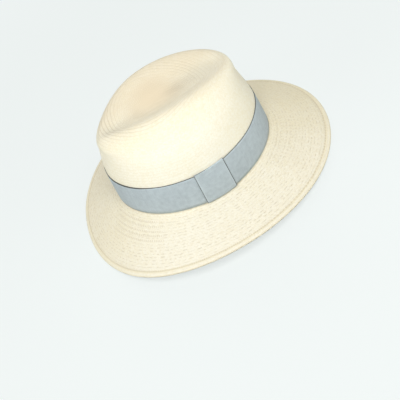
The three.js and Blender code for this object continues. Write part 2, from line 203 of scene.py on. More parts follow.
class StageSettings(bpy.types.PropertyGroup):
    """The camera, the lights and the floor"""
    azimuth: angle_setting("Azimuth", "Direction of the camera round the head, 0 in front of the hat", 79.3)
    elevation: angle_setting(
        "Elevation", "Height of the camera over the level of the head opening", 41.76)
    roll: angle_setting("Roll", "Turn of the camera about its own axis", -29.82)
    distance: length_setting("Distance", "From the camera to the point it aims at", 0.1, 0.88663, 5)
    lens: bpy.props.FloatProperty(
        name="Lens", description="Focal length of the camera",
        unit="CAMERA", min=10, max=300, default=64.742)
    aim: place_setting(
        "Aim", "Point in the middle of the picture, from the middle of the head opening",
        0.03217, -0.02634, -0.04089)
    floor: colour_setting("Floor", "Colour of floor and backdrop", 0.86, 0.905, 0.895)
    floor_glow: bpy.props.FloatProperty(
        name="Floor glow", description="Share of the floor's colour that shows without light or shadow",
        subtype="FACTOR", min=0, max=1, default=0.76)
    floor_size: length_setting("Floor size", "Side of the floor", 1, 4, 50)
    shadow_reach: length_setting(
        "Shadow reach", "Distance from the hat past which the floor looks like the backdrop", 0.5, 1.1, 10)
    lamp_powers: bpy.props.FloatVectorProperty(
        name="Lamps", description="Powers of the key, front, back and fill lights",
        size=4, min=0, max=500, default=(33, 11, 6.3, 7))
    lamp_azimuths: angles_setting("Lamp azimuths", "Directions of the four lights", 85, 3, 125, 258)
    lamp_elevations: angles_setting(
        "Lamp elevations", "Heights of the four lights over the horizon", 62, 18, 42, 25)
    lamp_distance: length_setting("Lamp distance", "Distance of the lights", 0.5, 2, 10)
    lamp_size: length_setting("Lamp size", "Side of each square light", 0.1, 1.3, 5)
    room_light: bpy.props.FloatProperty(
        name="Room light", description="Strength of the even light from all round", min=0, max=3, default=0.2)
    room_colour: colour_setting("Room colour", "Colour of the even light from all round", 1, 0.975, 0.93)


def direction(azimuth, elevation):
    """Towards a place at an azimuth, 0 in front of the hat, and at a height over the horizon."""
    level = math.cos(elevation)
    return Vector((math.sin(azimuth) * level, -math.cos(azimuth) * level, math.sin(elevation)))


# Objects and meshes

def active_only(piece):
    """Selects one object alone and makes it the active one."""
    bpy.ops.object.select_all(action="DESELECT")
    piece.select_set(True)
    bpy.context.view_layer.objects.active = piece


def copied_node(node, name):
    """A copy of a CAD node with its doubles merged. The node itself is left alone."""
    mesh = frame["nodes"][node].data.copy()
    mesh.name = name
    mesh.materials.clear()
    piece = bpy.data.objects.new(name, mesh)
    bpy.context.collection.objects.link(piece)
    active_only(piece)
    bpy.ops.object.mode_set(mode="EDIT")
    bpy.ops.mesh.select_all(action="SELECT")
    bpy.ops.mesh.remove_doubles(threshold=merge_distance)
    bpy.ops.object.mode_set(mode="OBJECT")
    return piece


def smoothed(piece):
    """Applies a Subdivision Surface to a piece and shades it smooth."""
    active_only(piece)
    modifier = piece.modifiers.new("smooth", "SUBSURF")
    modifier.levels = surface_levels
    modifier.render_levels = surface_levels
    modifier.uv_smooth = "NONE"
    bpy.ops.object.modifier_apply(modifier=modifier.name)
    bpy.ops.object.shade_smooth()


def crisp_copy(node, name):
    """A smooth copy of a CAD node: triangles are joined to quads, and edges that bend sharply stay crisp."""
    piece = copied_node(node, name)
    bpy.ops.object.mode_set(mode="EDIT")
    bpy.ops.mesh.select_all(action="SELECT")
    bpy.ops.mesh.tris_convert_to_quads(face_threshold=math.pi, shape_threshold=math.pi)
    bpy.ops.mesh.select_mode(type="EDGE")
    bpy.ops.mesh.select_all(action="DESELECT")
    bpy.ops.mesh.edges_select_sharp(sharpness=sharp_bend)
    bpy.ops.transform.edge_crease(value=1)
    bpy.ops.object.mode_set(mode="OBJECT")
    smoothed(piece)
    return piece


def dressed(piece, material, slot, *nodes):
    """Gives a finished piece its material and its body, and hides the nodes that it stands for. Its slot is
    not used.
    """
    piece.data.materials.clear()
    piece.data.materials.append(material)
    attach(piece, "root")
    if nodes:
        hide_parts(*nodes)


def write_values(mesh, name, values):
    """Keeps one number for each vertex as an attribute of the mesh."""
    attribute = mesh.attributes.new(name, "FLOAT", "POINT")
    attribute.data.foreach_set("value", values)


def read_values(mesh, name):
    """The numbers that an attribute keeps, one for each vertex."""
    values = [0.0] * len(mesh.vertices)
    mesh.attributes[name].data.foreach_get("value", values)
    return values


def write_map(mesh, name, alongs, acrosses, whole=math.inf):
    """Keeps how far each vertex lies along and across a cloth as a UV map. Whole is the length of a cloth
    that goes all round, and a face that spans its join goes on past it. A pole, which lies nowhere along the
    cloth, is put in the middle of each of its faces."""
    layer = mesh.uv_layers.new(name=name)
    for face in mesh.polygons:
        known = [alongs[i] for i in face.vertices if alongs[i] is not None]
        known = [along + whole if max(known) - along > whole / 2 else along for along in known]
        pole = sum(known) / len(known)
        onward = iter(known)
        for corner, vertex in zip(face.loop_indices, face.vertices):
            along = pole if alongs[vertex] is None else next(onward)
            layer.data[corner].uv = (along, acrosses[vertex])


def uneven(piece, settings):
    """Moves a piece by the hat's slow unevenness, which is the same for all that lies at one place."""
    noise.seed_set(unevenness_seed)
    for vertex in piece.data.vertices:
        vertex.co += noise.noise_vector(vertex.co / settings.wave_length) * settings.waviness


# Places round the head

def head_place(point):
    """A point in the hat's own frame: to the left, to the back and up."""
    offset = point - head_centre
    return Vector((offset.dot(head_left), offset.dot(head_back), offset.dot(head_up)))


def head_turn(place):
    """Turn round the head, as a share of a full one, 0 at the front and a quarter at the left."""
    return math.atan2(place.x, -place.y) / full_turn % 1


def band_places(piece, join):
    """How far each vertex of a band lies round it from its join, and over its lower edge, and how long the
    whole band is."""
    places = [head_place(vertex.co) for vertex in piece.data.vertices]
    turns = [(head_turn(place) - join) % 1 for place in places]
    foot = {}
    for place, turn in zip(places, turns):
        station = int(turn * band_stations)
        if station not in foot or place.z < foot[station][1].z:
            foot[station] = (turn, place)
    feet = sorted(foot.values(), key=lambda entry: entry[0])
    first_turn, first = feet[0]
    feet = [*feet, (first_turn + 1, first)]
    steps = [(end.xy - start.xy).length for (_, start), (_, end) in zip(feet, feet[1:])]
    runs = np.concatenate(([0], np.cumsum(steps)))
    foot_turns = [turn for turn, _ in feet]
    past = [turn + 1 if turn < first_turn else turn for turn in turns]
    rounds = np.interp(past, foot_turns, runs)
    lows = np.interp(past, foot_turns, [place.z for _, place in feet])
    heights = [place.z - low for place, low in zip(places, lows)]
    return [float(value) for value in rounds], heights, float(runs[-1])


def upright_places(piece):
    """How far each vertex of a short upright band lies over its low end, and from its side at the front."""
    places = [head_place(vertex.co) for vertex in piece.data.vertices]
    turns = [head_turn(place) for place in places]
    radius = sum(place.xy.length for place in places) / len(places)
    low = min(place.z for place in places)
    first = min(turns)
    return [place.z - low for place in places], [(turn - first) * full_turn * radius for turn in turns]


def level_line(piece, attribute, value, facing=None):
    """Where a mesh crosses a value of its attribute: (point, normal) in order round the head."""
    mesh = piece.data
    values = read_values(mesh, attribute)
    crossings = []
    for edge in mesh.edges:
        low, high = edge.vertices
        if (values[low] - value) * (values[high] - value) >= 0:
            continue
        share = (value - values[low]) / (values[high] - values[low])
        point = mesh.vertices[low].co.lerp(mesh.vertices[high].co, share)
        normal = mesh.vertices[low].normal.lerp(mesh.vertices[high].normal, share).normalized()
        if facing is None or facing(point, normal):
            crossings.append((head_turn(head_place(point)), point, normal))
    crossings.sort(key=lambda crossing: crossing[0])
    return [(point, normal) for _, point, normal in crossings]


def faces_head(point, normal):
    """Whether a surface faces the middle of the head, and not up or down."""
    return normal.dot(head_centre - point) > abs(normal.dot(head_up)) * (head_centre - point).length / 2


def evenly(line, pitch):
    """Places a closed line's stitches at an even pitch: (point, normal, direction) of each."""
    ends = line[1:] + line[:1]
    lengths = [(end[0] - start[0]).length for start, end in zip(line, ends)]
    count = round(sum(lengths) / pitch)
    step = sum(lengths) / count
    places = []
    passed = 0.0
    for (start, normal), (end, end_normal), length in zip(line, ends, lengths):
        while len(places) < count and len(places) * step <= passed + length:
            share = (len(places) * step - passed) / length
            outwards = normal.lerp(end_normal, share).normalized()
            places.append((start.lerp(end, share), outwards, (end - start).normalized()))
        passed += length
    return places


def stitch_mesh(length, thickness):
    """One stitch along X: a short thread whose ends dip into the cloth."""
    sides = 6
    middle_end = length / 3
    dip = thickness / 2
    bpy.ops.object.select_all(action="DESELECT")
    bpy.ops.mesh.primitive_uv_sphere_add(
        segments=sides, ring_count=sides, radius=0.5, rotation=(0, math.pi / 2, 0))
    stitch = bpy.context.object
    stitch.scale = (thickness, thickness, length)
    bpy.ops.object.transform_apply(location=True, rotation=True, scale=True)
    bpy.ops.object.mode_set(mode="EDIT")
    bpy.ops.mesh.select_mode(type="VERT")
    bpy.ops.mesh.select_all(action="DESELECT")
    shaping = bmesh.from_edit_mesh(stitch.data)
    for vertex in shaping.verts:
        vertex.select = abs(vertex.co.x) > middle_end
    bpy.ops.transform.translate(value=(0, 0, -dip))
    bpy.ops.object.mode_set(mode="OBJECT")
    bpy.ops.object.shade_smooth()
    mesh = stitch.data
    bpy.data.objects.remove(stitch)
    return mesh


def stitched(name, stitch, places):
    """One piece of many stitches, each a copy laid at its place and along its line."""
    joined = bmesh.new()
    for point, normal, onward in places:
        across = normal.cross(onward).normalized()
        along = across.cross(normal)
        first = len(joined.verts)
        joined.from_mesh(stitch)
        joined.verts.ensure_lookup_table()
        lay = Matrix((along, across, normal)).transposed().to_4x4()
        lay.translation = point
        bmesh.ops.transform(joined, matrix=lay, verts=joined.verts[first:])
    mesh = bpy.data.meshes.new(name)
    joined.to_mesh(mesh)
    joined.free()
    mesh.shade_smooth()
    piece = bpy.data.objects.new(name, mesh)
    bpy.context.collection.objects.link(piece)
    return piece


# Node trees

class Net:
    """Short calls that add and join the shader nodes of one tree."""

    row_of_nodes = 12
    node_width = 200
    node_height = 240

    def __init__(self, tree):
        self.tree = tree
        self.count = 0

    def add(self, kind, **settings):
        """Adds a node beside or below the last one."""
        row, column = divmod(self.count, self.row_of_nodes)
        node = self.tree.nodes.new(kind)
        node.location = (self.node_width * column, -self.node_height * row)
        self.count += 1
        for name, value in settings.items():
            setattr(node, name, value)
        return node

    def put(self, value, socket):
        """Links a socket to another, or sets its value."""
        if isinstance(value, bpy.types.NodeSocket):
            self.tree.links.new(value, socket)
        else:
            socket.default_value = value

    def math(self, operation, *values, clamp=False):
        node = self.add("ShaderNodeMath", operation=operation, use_clamp=clamp)
        for value, socket in zip(values, node.inputs):
            self.put(value, socket)
        return node.outputs[0]

    def product(self, first, *others):
        for other in others:
            first = self.math("MULTIPLY", first, other)
        return first

    def scaled(self, value, factor, offset, clamp=False):
        """A value times a factor, plus an offset."""
        return self.math("MULTIPLY_ADD", value, factor, offset, clamp=clamp)

    def less(self, value):
        """1 less a value."""
        return self.math("SUBTRACT", 1.0, value)

    def most(self, first, *others):
        """The largest of some values."""
        for other in others:
            first = self.math("MAXIMUM", first, other)
        return first

    def from_middle(self, value):
        """0 in the middle of each whole step of a value and 1 at its ends."""
        return self.math("ABSOLUTE", self.scaled(self.math("FRACT", value), 2.0, -1.0))

    def rise(self, value, low, high):
        """0 below low and 1 above high, smooth between them."""
        node = self.add("ShaderNodeMapRange", interpolation_type="SMOOTHSTEP")
        for given, socket in ((value, "Value"), (low, "From Min"), (high, "From Max")):
            self.put(given, node.inputs[socket])
        return node.outputs["Result"]

    def fall(self, value, low, high):
        """1 below low and 0 above high, smooth between them."""
        return self.less(self.rise(value, low, high))

    def mix(self, share, first, second):
        node = self.add("ShaderNodeMix", data_type="RGBA")
        colours = [socket for socket in node.inputs if socket.type == "RGBA"]
        self.put(share, node.inputs["Factor"])
        self.put(first, colours[0])
        self.put(second, colours[1])
        return next(socket for socket in node.outputs if socket.type == "RGBA")

    def parts(self, vector):
        """The X, Y and Z of a vector."""
        node = self.add("ShaderNodeSeparateXYZ")
        self.put(vector, node.inputs[0])
        return node.outputs

    def place(self, x, y):
        """A place in the plane."""
        node = self.add("ShaderNodeCombineXYZ")
        self.put(x, node.inputs["X"])
        self.put(y, node.inputs["Y"])
        return node.outputs[0]

    def noise(self, place, scale, detail=2.0):
        node = self.add("ShaderNodeTexNoise")
        for given, socket in ((place, "Vector"), (scale, "Scale"), (detail, "Detail")):
            self.put(given, node.inputs[socket])
        return node.outputs["Fac"]

    def chance(self, x, y=0.0):
        """A steady random number for each pair of whole numbers."""
        node = self.add("ShaderNodeTexWhiteNoise", noise_dimensions="2D")
        self.put(self.place(x, y), node.inputs["Vector"])
        return node.outputs["Value"]

    def show(self, share, usual, other, output):
        """Joins two shaders to the tree's output, the other one by a share."""
        mixed = self.add("ShaderNodeMixShader")
        self.put(share, mixed.inputs[0])
        self.put(usual.outputs[0], mixed.inputs[1])
        self.put(other.outputs[0], mixed.inputs[2])
        self.put(mixed.outputs[0], self.tree.nodes[output].inputs["Surface"])


def group_net(name, inputs):
    """A new node group with a colour, a roughness and a height: (its net, its inputs, its outputs)."""
    tree = bpy.data.node_groups.new(name, "ShaderNodeTree")
    for label, kind in inputs.items():
        tree.interface.new_socket(name=label, in_out="INPUT", socket_type="NodeSocket" + kind)
    for label, kind in (("Color", "Color"), ("Roughness", "Float"), ("Height", "Float")):
        tree.interface.new_socket(name=label, in_out="OUTPUT", socket_type="NodeSocket" + kind)
    net = Net(tree)
    return net, net.add("NodeGroupInput").outputs, net.add("NodeGroupOutput").inputs


class StrawWeave:
    """Nodes for a herringbone of straws in rings round the rosette. Cloth holds the turn and the row, Wall
    is 0 on top of the crown and 1 below its ridge, and From rim is a distance, negative on the underside."""

    # How strongly each mark darkens the straw; the hem's mark is painted shade in its stitch groove and on
    # its fold
    straw_shade = 0.3
    hem_straw_shade = 0.2
    groove_shade = 0.7
    gap_shade = 0.6
    dash_shade = 0.22
    hem_shade = 0.72

    # Where things start or end, in metres along the straw from the rosette, and in rows past the break
    weave_start = (0.004, 0.03)
    groove_start = (0.032, 0.06)
    pale_start = (-54.0, -38.0)
    brim_start = (-1.0, 1.0)
    added_start = (3.0, 5.5)
    added_end = (17.0, 24.0)

    # The same in metres from the hem's line, and from the rim
    hem_cloth_start = (0.0, 0.0008)
    hem_line_width = (0.0004, 0.0015)
    open_weave_end = (0.0, 0.003)
    fold_width = (0.0, 0.0016)
    hem_middle_start = (0.0008, 0.002)
    hem_middle_end = (0.0034, 0.005)

    # The same in metres to the hat's left, to its back, and from the middle of the dent's colour and painted
    # shade
    dent_right_end = (-0.025, 0.0)
    ridge_left_start = (0.0, 0.03)
    brim_left_start = (0.0, 0.12)
    dash_start = (-0.14, -0.06)
    brim_back_start = (-0.1, 0.13)
    crown_back_start = (-0.04, 0.03)
    dent_tone_and_shade_end = (0.015, 0.07)

    # Painted light on the wall: how far to its back it is palest, and how far before and behind this it is
    # less pale
    palest = -0.025
    less_pale = (0.03, 0.08)

    def __init__(self):
        """Finds where a point lies: its ring and its straw, and the part of the hat."""
        self.net, self.given, self.result = group_net("straw weave", {
            "Cloth": "Vector", "Place": "Vector", "Wall": "Float", "From rim": "Float", "Light": "Color",
            "Dark": "Color", "Groove": "Color", "Rosette": "Color", "Hem": "Color", "Hem line": "Float",
            "Crown row": "Float", "Brim row": "Float", "Straw": "Float", "Wall girth": "Float",
            "Break row": "Float", "Tint middle": "Vector"})
        net, given = self.net, self.given
        self.turn, self.row, _ = net.parts(given["Cloth"])
        self.left, self.back, _ = net.parts(given["Place"])
        self.behind = net.math("GREATER_THAN", self.back, 0.0)
        self.pair = net.math("FLOOR", net.math("DIVIDE", self.row, 2.0))
        self.straws = self.straws_in_ring()
        self.round_ring = net.product(self.turn, self.straws)
        self.from_rosette = net.product(self.row, given["Crown row"])
        self.from_break = net.math("SUBTRACT", self.row, given["Break row"])
        self.on_brim = net.rise(self.from_break, *self.brim_start)
        self.on_crown = net.less(self.on_brim)
        self.on_wall = net.product(given["Wall"], self.on_crown)
        self.to_rim = net.math("ABSOLUTE", given["From rim"])
        self.to_line = net.math("SUBTRACT", self.to_rim, given["Hem line"])
        self.before_hem = net.rise(self.to_line, *self.open_weave_end)

        # The weave is tight on the wall and round the rosette
        wall_tightness = 0.74
        past_rosette = net.rise(self.from_rosette, *self.weave_start)
        self.openness = net.product(net.less(net.product(self.on_wall, wall_tightness)), past_rosette)

    def straws_in_ring(self):
        """How many straws go round. At some rings straws are added, so that each keeps about its width."""
        growth = 1.22
        fewest = 8.0
        net, given = self.net, self.given
        ring = net.product(self.pair, 2.0)
        crown_reach = net.math("MINIMUM", net.product(ring, given["Crown row"]), given["Wall girth"])
        past_break = net.most(net.math("SUBTRACT", ring, given["Break row"]), 0.0)
        reach = net.math("ADD", crown_reach, net.product(past_break, given["Brim row"]))
        room = net.math("DIVIDE", net.product(reach, full_turn), given["Straw"])
        added = net.math("FLOOR", net.math("LOGARITHM", net.most(room, fewest), growth))
        return net.math("ROUND", net.math("POWER", growth, added))

    def herringbone(self):
        """Each straw leans one way in a row and the other way in the next: (its chance, how far it stands
        out)."""
        lean = 1.2
        net = self.net
        along = net.math("ADD", self.round_ring, net.product(net.math("PINGPONG", self.row, 1.0), lean))
        number = net.math("FLOORED_MODULO", net.math("FLOOR", along), self.straws)
        straw_round = net.less(net.math("POWER", net.from_middle(along), 2.2))
        row_round = net.less(net.product(net.math("POWER", net.from_middle(self.row), 4.0), 0.75))
        return net.chance(number, net.math("FLOOR", self.row)), net.product(straw_round, row_round)

    def along_rings(self, by_straw, by_row):
        """Noise that is drawn out along the rings."""
        net = self.net
        place = net.place(net.product(self.round_ring, by_straw), net.product(self.row, by_row))
        return net.noise(place, 1.0, 1.0)

    def ring_grooves(self):
        """Rows join in pairs, and a groove runs round between the pairs. On the brim it comes and goes."""
        net = self.net
        groove = net.rise(net.from_middle(net.product(self.row, 0.5)), 0.35, 1.0)
        lasting = net.rise(self.along_rings(0.22, 0.5), 0.42, 0.60)
        lasting = net.most(lasting, net.product(self.on_crown, 0.8))
        past_middle = net.most(self.on_brim, net.rise(self.from_rosette, *self.groove_start))
        ring_chance = net.scaled(net.chance(self.pair), 0.5, 0.6)
        crown_back = net.product(net.rise(self.back, *self.crown_back_start), self.on_crown)
        return net.product(
            groove, lasting, past_middle, ring_chance, self.openness, net.scaled(crown_back, -0.45, 1.0),
            net.scaled(self.before_hem, 0.6, 0.4))

    def straw_gaps(self):
        """Gaps between the straws along a ring, further apart behind."""
        net = self.net
        rate = net.scaled(self.behind, -0.2, 0.45)
        return net.rise(net.from_middle(net.product(self.round_ring, rate)), 0.35, 0.65)

    def added_rings(self, gaps):
        """In three places near the band, rings of gaps show where straws were added on the brim."""
        patch_count = 3
        first_patch = 0.06
        rows_apart = 3
        net = self.net
        added_ring = net.rise(net.from_middle(net.product(self.from_break, 1 / rows_apart)), 0.4, 0.75)
        near_band = net.product(
            net.rise(self.from_break, *self.added_start), net.fall(self.from_break, *self.added_end))
        wave = net.product(net.math("SUBTRACT", self.turn, first_patch), patch_count * full_turn)
        wave = net.math("SUBTRACT", net.math("COSINE", wave), 0.6)
        patches = net.scaled(net.noise(self.given["Place"], 40.0, 1.0), 1.2, wave)
        return net.product(
            added_ring, near_band, net.rise(patches, 0.0, 0.9), gaps, net.scaled(self.behind, -0.35, 1.0))

    def dashes(self):
        """On the brim up to the hem the straws show as slanting dashes, which come and go."""
        net = self.net
        slanting = net.scaled(self.along_rings(0.3, 0.6), 1.2, net.product(self.round_ring, -0.24))
        unruly = net.scaled(net.noise(self.given["Place"], 330.0, 1.0), 0.7, slanting)
        dash = net.rise(net.from_middle(net.scaled(self.row, 0.5, unruly)), 0.2, 0.9)
        coming = net.rise(self.along_rings(0.15, 0.4), 0.28, 0.58)
        past_front = net.scaled(net.rise(self.back, *self.dash_start), 0.6, 0.4)
        return net.product(
            dash, coming, self.openness, past_front, self.before_hem, net.scaled(self.on_brim, 0.8, 0.2))

    def tone(self, straw_chance, drift, fibre):
        """From 0 to 1, how dark the straw is: by straw and in slow drifts, and with painted light and shade
        down the wall and round the brim.
        """
        net = self.net
        tone = net.scaled(straw_chance, 0.5, net.product(drift, 0.5))
        tone = net.math("ADD", tone, net.scaled(fibre, 0.4, -0.2))
        # Painted light and shade: the wall is paler towards its foot, and darker towards the hat's front and
        # back
        down_wall = net.scaled(net.rise(self.from_break, *self.pale_start), -0.4, 0.15)
        from_palest = net.math("ABSOLUTE", net.math("SUBTRACT", self.back, self.palest))
        down_wall = net.scaled(net.rise(from_palest, *self.less_pale), 0.25, down_wall)
        tone = net.math("ADD", tone, net.product(self.on_wall, down_wall))
        # Painted light and shade: the brim is darker towards its back and paler on its left, where the key
        # light falls
        round_brim = net.scaled(net.rise(self.back, *self.brim_back_start), 0.29, 0.08)
        round_brim = net.scaled(net.rise(self.left, *self.brim_left_start), -0.46, round_brim)
        tone = net.math("ADD", tone, net.product(self.on_brim, round_brim))
        return net.math("MINIMUM", net.most(tone, 0.0), 1.0)

    def tint(self, drift):
        """Share of the rosette's colour, which is partly darker straw and partly painted shade with warm
        bounce light: in the middle of the dent and on its right, and as painted shade just past the left
        ridge.
        """
        net, given = self.net, self.given
        to_middle = net.add("ShaderNodeVectorMath", operation="DISTANCE")
        net.put(given["Place"], to_middle.inputs[0])
        net.put(given["Tint middle"], to_middle.inputs[1])
        in_middle = net.fall(net.scaled(drift, 0.02, to_middle.outputs["Value"]), *self.dent_tone_and_shade_end)
        on_right = net.fall(self.left, *self.dent_right_end)
        in_dent = net.most(net.product(in_middle, 0.95), net.product(on_right, 0.5))
        in_dent = net.product(net.less(given["Wall"]), self.on_crown, in_dent)
        # Painted shade on the wall just below the left ridge, where the crown turns from the light
        past_ridge = net.product(given["Wall"], net.math("POWER", net.less(given["Wall"]), 6.0), 4.4)
        past_ridge = net.product(past_ridge, net.rise(self.left, *self.ridge_left_start), self.on_crown)
        return net.math("ADD", in_dent, past_ridge)

    def hem_tint(self):
        """Share of the hem's own colour, which is stronger along its line and its fold."""
        net = self.net
        middle = net.product(
            net.rise(self.to_rim, *self.hem_middle_start), net.fall(self.to_rim, *self.hem_middle_end))
        return net.product(net.fall(self.to_line, *self.hem_cloth_start), net.scaled(middle, -0.35, 0.45))

    def hem_edges(self, gaps):
        """The hem's line, where the stitching lies, and its fold at the rim, both darkened with painted
        shade.
        """
        net = self.net
        line = net.fall(net.math("ABSOLUTE", self.to_line), *self.hem_line_width)
        fold = net.fall(self.to_rim, *self.fold_width)
        return net.most(net.product(line, net.scaled(gaps, 0.4, 0.5)), net.product(fold, 0.7))

    def build(self):
        """Joins all this to a colour, a height and a roughness, and gives the finished group."""
        net, given, result = self.net, self.given, self.result
        straw_chance, body = self.herringbone()
        grooves = self.ring_grooves()
        gaps = self.straw_gaps()
        added_rings = self.added_rings(gaps)
        drift = net.noise(given["Place"], 20.0, 3.0)
        fibre = net.noise(given["Place"], 1100.0, 2.0)
        tone = self.tone(straw_chance, drift, fibre)
        colour = net.mix(tone, given["Light"], given["Dark"])
        # Painted shade: the rosette's colour darkens the dent, partly as darker straw, and the wall just
        # below the left ridge
        colour = net.mix(self.tint(drift), colour, given["Rosette"])
        colour = net.mix(self.hem_tint(), colour, given["Hem"])
        straw_shade = net.scaled(
            self.before_hem, self.straw_shade - self.hem_straw_shade, self.hem_straw_shade)
        # The hem's edges add painted shade in the stitch groove and on the rim's fold
        shade = net.most(
            net.product(net.less(body), self.openness, straw_shade),
            net.product(grooves, self.groove_shade), net.product(added_rings, self.gap_shade),
            net.product(self.dashes(), self.dash_shade), net.product(self.hem_edges(gaps), self.hem_shade))
        net.put(net.mix(shade, colour, given["Groove"]), result["Color"])
        relief = net.math("SUBTRACT", net.product(body, self.openness), grooves)
        relief = net.math("SUBTRACT", relief, net.product(added_rings, 0.9))
        net.put(net.scaled(fibre, 0.15, relief), result["Height"])
        net.put(net.scaled(tone, 0.15, 0.55), result["Roughness"])
        return net.tree


def weave_group():
    """The straw's weave."""
    return StrawWeave().build()


def grosgrain_group():
    """Ribs across a ribbon, with a firm edge on both sides. Cloth holds the run and the height over the low
    edge. Shade is painted along the high edge and, by the share of Low edge, along the low one, and at the
    Fold across the run. By the same share a painted highlight runs just inside the edges. At the hat's front
    and back the ribbon stands off the straw, and the painted shade is wider or stronger."""
    standing_off = (0.07, 0.1)
    net, given, result = group_net("grosgrain", {
        "Cloth": "Vector", "Place": "Vector", "Width": "Float", "Rib": "Float", "Selvedge": "Float",
        "Crest": "Color", "Valley": "Color", "Edge": "Color", "Low edge": "Float", "Fold": "Float"})
    run, from_low, _ = net.parts(given["Cloth"])
    _, back, _ = net.parts(given["Place"])
    waver = net.scaled(net.noise(given["Place"], 260.0), 0.6, -0.3)
    count = net.math("ADD", net.math("DIVIDE", run, given["Rib"]), waver)
    crest = net.less(net.math("POWER", net.from_middle(count), 2.0))

    # In selvedge widths: the edge, a painted highlight just inside it, and the painted shade on its outermost
    # half
    low = net.math("DIVIDE", from_low, given["Selvedge"])
    high = net.math("DIVIDE", net.math("SUBTRACT", given["Width"], from_low), given["Selvedge"])
    nearest = net.math("MINIMUM", low, high)
    edge = net.fall(nearest, 0.0, 1.0)
    pale = net.product(net.rise(nearest, 0.6, 1.2), net.fall(nearest, 1.6, 2.4), given["Low edge"])
    stands_off = net.rise(net.math("ABSOLUTE", back), *standing_off)
    high = net.math("DIVIDE", high, net.scaled(stands_off, 1.7, 1.0))
    low_share = net.most(given["Low edge"], net.product(stands_off, 0.45))
    low_shade = net.product(net.fall(low, 0.6, 0.95), low_share)
    # Painted shade across the run at the keeper's top fold
    to_fold = net.math("DIVIDE", net.math("SUBTRACT", given["Fold"], run), given["Selvedge"])
    at_fold = net.product(net.fall(net.math("ABSOLUTE", to_fold), 0.5, 0.9), 0.6)
    shade = net.most(low_shade, net.fall(high, 0.6, 0.95), at_fold)

    threads = net.noise(given["Place"], 1600.0)
    dye = net.noise(given["Place"], 24.0, 3.0)
    mottle = net.noise(given["Place"], 210.0, 3.0)
    rib_chance = net.chance(net.math("FLOOR", count))
    share = net.scaled(net.less(crest), 0.5, net.scaled(dye, 0.5, -0.1))
    share = net.scaled(rib_chance, 0.14, share)
    share = net.scaled(net.math("SUBTRACT", mottle, 0.5), 1.1, share)
    share = net.scaled(pale, -0.7, share)
    share = net.scaled(threads, 0.2, net.math("SUBTRACT", share, 0.1), clamp=True)
    colour = net.mix(share, given["Crest"], given["Valley"])
    net.put(net.mix(net.product(shade, 0.93), colour, given["Edge"]), result["Color"])
    net.put(net.scaled(edge, 1.5, net.scaled(threads, 0.35, crest)), result["Height"])
    net.put(net.scaled(threads, 0.2, 0.6), result["Roughness"])
    return net.tree


def thread_group():
    """Fine spun thread: a little fuzz and uneven tone."""
    net, given, result = group_net("spun thread", {"Place": "Vector", "Tint": "Color", "Shade": "Color"})
    fuzz = net.noise(given["Place"], 2500.0, 3.0)
    slow = net.noise(given["Place"], 120.0)
    share = net.scaled(fuzz, 0.6, net.product(slow, 0.4), clamp=True)
    net.put(net.mix(share, given["Tint"], given["Shade"]), result["Color"])
    net.put(fuzz, result["Height"])
    net.put(net.scaled(slow, 0.2, 0.6), result["Roughness"])
    return net.tree


def group_material(name, group_name, build_group, relief, cloth_map=None, measures=(), **values):
    """A material round one shared group, whose sockets get the values. Its cloth map and the measures that
    it reads by the sockets' names are kept on the piece."""
    material = bpy.data.materials.new(name)
    material.use_nodes = True
    net = Net(material.node_tree)
    shader = material.node_tree.nodes["Principled BSDF"]
    shader.inputs["Specular IOR Level"].default_value = cloth_gloss
    group = bpy.data.node_groups.get(group_name) or build_group()
    pattern = net.add("ShaderNodeGroup", node_tree=group)
    net.put(net.add("ShaderNodeTexCoord").outputs["Object"], pattern.inputs["Place"])
    if cloth_map:
        net.put(net.add("ShaderNodeUVMap", uv_map=cloth_map).outputs["UV"], pattern.inputs["Cloth"])
    for measure in measures:
        kept = net.add("ShaderNodeAttribute", attribute_name=measure)
        net.put(kept.outputs["Fac"], pattern.inputs[measure.replace("_", " ").capitalize()])
    for socket, value in values.items():
        pattern.inputs[socket.replace("_", " ")].default_value = value
    bump = net.add("ShaderNodeBump")
    bump.inputs["Distance"].default_value = relief
    net.put(pattern.outputs["Height"], bump.inputs["Height"])
    net.put(pattern.outputs["Color"], shader.inputs["Base Color"])
    net.put(pattern.outputs["Roughness"], shader.inputs["Roughness"])
    net.put(bump.outputs["Normal"], shader.inputs["Normal"])
    return material


def grosgrain(name, settings, width, rib, crest, valley, edge, low_edge=0, fold=no_fold):
    """Grosgrain of a width, whose ribs follow the piece's own map. Low edge is the share of painted shade
    along its low edge and of the painted highlight inside its edges, and fold the place of a fold in its run,
    across which shade is painted."""
    return group_material(
        name, "grosgrain", grosgrain_group, settings.relief, "cloth", Width=width, Rib=rib,
        Selvedge=settings.selvedge, Crest=crest, Valley=valley, Edge=edge, Low_edge=low_edge, Fold=fold)


def thread(name, tint):
    """Thread or a cloth covering of one tint, a little darker in flecks and patches."""
    hollows = 0.7
    shade = [channel * hollows for channel in tint[:3]] + [1]
    return group_material(name, "spun thread", thread_group, thread_relief, Tint=tint, Shade=shade)


# The straw's grid of rings and columns

